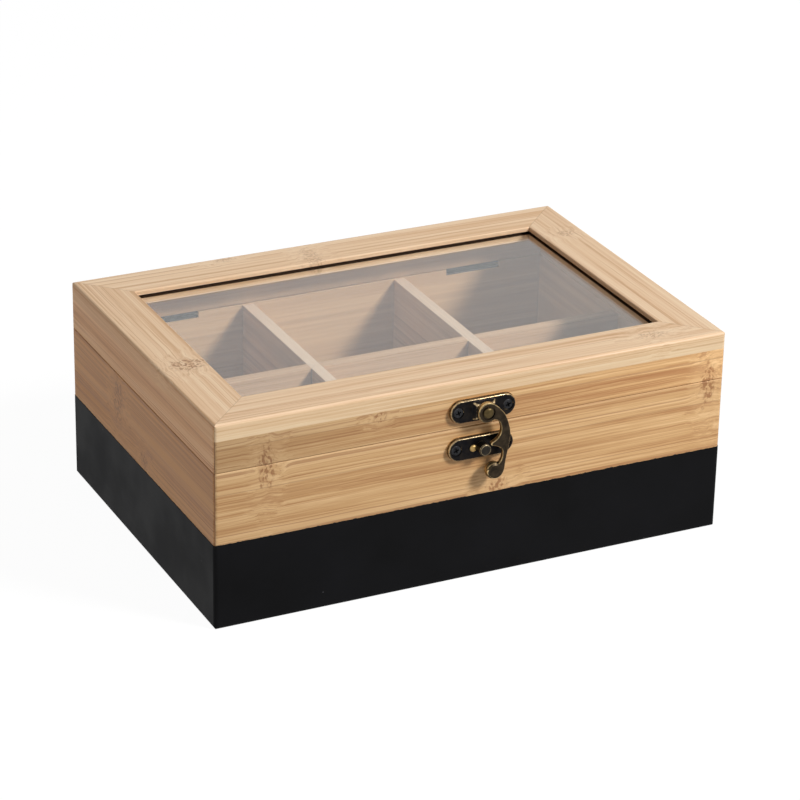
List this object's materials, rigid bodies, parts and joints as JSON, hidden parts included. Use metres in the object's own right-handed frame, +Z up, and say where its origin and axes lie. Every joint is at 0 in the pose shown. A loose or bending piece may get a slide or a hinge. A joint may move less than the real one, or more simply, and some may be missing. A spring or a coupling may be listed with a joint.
{
  "type": "tea bag organizer box",
  "caption": "Low bamboo box with a hinged glass-topped lid, tea bag compartments inside, a black painted foot band and a bronze swing hook latch on the front.",
  "frame": {"origin": "centre of the underside of the box, where it stands on the table", "axes": "+X along the front to the right, +Y from the front with the latch to the back with the hinges, +Z up"},
  "size_m": [0.2204, 0.157, 0.086],
  "materials": {
    "bamboo": "satin lacquered bamboo",
    "inner_bamboo": "smooth bare bamboo",
    "black_paint": "satin paint",
    "glass": "clear polished",
    "hinge_steel": "satin zinc plate",
    "antique_bronze": "antique bronze, worn on the edges",
    "dark_steel": "satin"
  },
  "bodies": {
    "base": {"front_wall": "bamboo", "back_wall": "bamboo", "left_wall": "bamboo", "right_wall": "bamboo", "paint_coat": "black_paint", "bottom_panel": "inner_bamboo", "left_divider": "inner_bamboo", "right_divider": "inner_bamboo", "cross_divider": "inner_bamboo", "left_hinge_base_leaf": "hinge_steel", "right_hinge_base_leaf": "hinge_steel", "left_hinge_pin": "hinge_steel", "right_hinge_pin": "hinge_steel", "hinge_base_screws": "hinge_steel", "keeper_plate": "antique_bronze", "keeper_screws": "dark_steel", "catch_stud": "antique_bronze"},
    "lid": {"lid_front_rail": "bamboo", "lid_back_rail": "bamboo", "lid_left_rail": "bamboo", "lid_right_rail": "bamboo", "frame_front_strip": "bamboo", "frame_back_strip": "bamboo", "frame_left_strip": "bamboo", "frame_right_strip": "bamboo", "glass_pane": "glass", "left_hinge_lid_leaf": "hinge_steel", "right_hinge_lid_leaf": "hinge_steel", "hinge_lid_screws": "hinge_steel", "hasp_plate": "antique_bronze", "hasp_screws": "dark_steel", "pivot_rivet": "antique_bronze"},
    "hook": {"swing_hook": "antique_bronze"}
  },
  "joints": [
    {"name": "lid_hinge", "type": "hinge", "parent": "base", "child": "lid", "pos_m": [0, 0.0738, 0.0645], "axis": [-1, 0, 0], "range_deg": [0, 110]},
    {"name": "hook_pivot", "type": "hinge", "parent": "lid", "child": "hook", "pos_m": [0.0014, -0.075, 0.0732], "axis": [0, -1, 0], "range_deg": [0, 300]}
  ]
}
